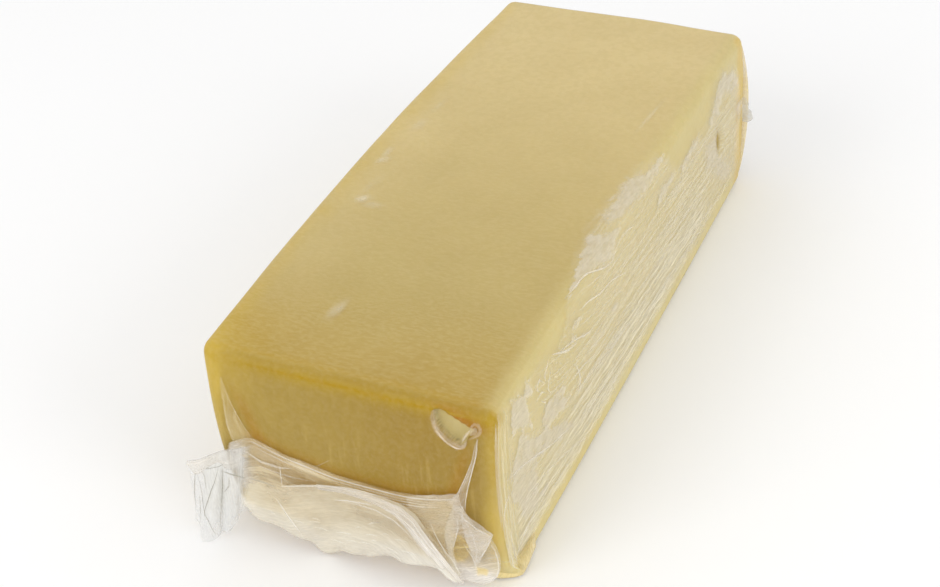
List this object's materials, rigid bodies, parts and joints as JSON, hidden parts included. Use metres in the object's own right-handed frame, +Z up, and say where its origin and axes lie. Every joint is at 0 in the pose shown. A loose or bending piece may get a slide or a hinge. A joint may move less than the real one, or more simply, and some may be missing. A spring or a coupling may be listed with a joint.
{
  "type": "vacuum-packed gouda block",
  "caption": "Rectangular block of yellow gouda in clear shrink film, with the film's end seams folded down as flaps and ears.",
  "frame": {"origin": "middle of the face that the block rests on, between its four sides", "axes": "+Y along the block from the near end with the wide folded flap to the far end, +X towards the cut side, +Z up"},
  "size_m": [0.1442, 0.3333, 0.0902],
  "materials": {
    "cheese": "young cheese rind seen through glossy clear film",
    "film": "clear shrink film, glossy, crinkled at the folds"
  },
  "bodies": {
    "root": {"cheese_pack": "cheese"}
  },
  "joints": []
}
